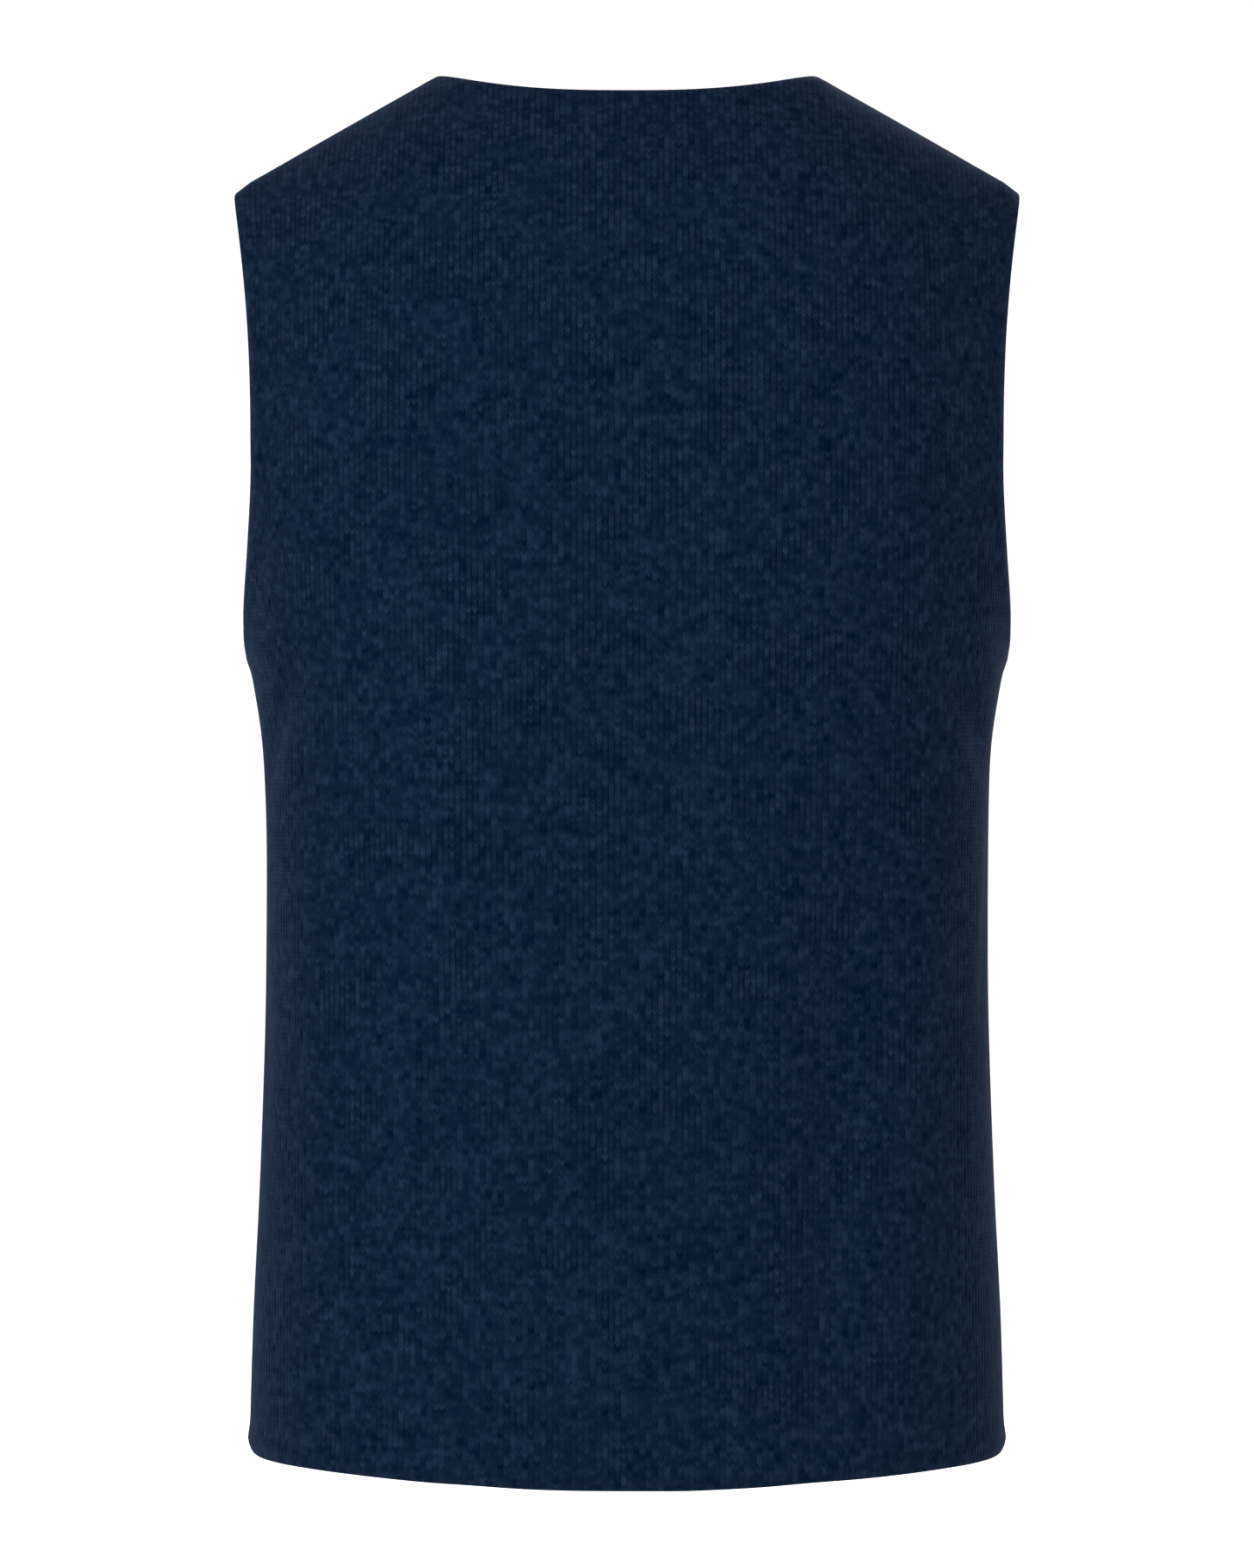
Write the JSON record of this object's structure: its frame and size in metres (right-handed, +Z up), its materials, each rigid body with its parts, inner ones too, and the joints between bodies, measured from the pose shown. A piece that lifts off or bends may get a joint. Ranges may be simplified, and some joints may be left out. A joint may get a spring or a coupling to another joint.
{
  "type": "knitted sweater vest",
  "caption": "Sleeveless knitted vest with a V neck in front and a shallow neckline behind, filled out as worn, open at the neck, armholes and hem.",
  "frame": {"origin": "middle of the neck opening, level with the neck points, where the wearer's shoulders carry the vest", "axes": "+Z up, -Y out of the back panel, +Y out of the front panel, +X to the wearer's right"},
  "size_m": [0.3456, 0.239, 0.6044],
  "materials": {
    "wool_jersey": "matt heathered wool jersey"
  },
  "bodies": {
    "root": {"back": "wool_jersey", "front": "wool_jersey"}
  },
  "joints": []
}
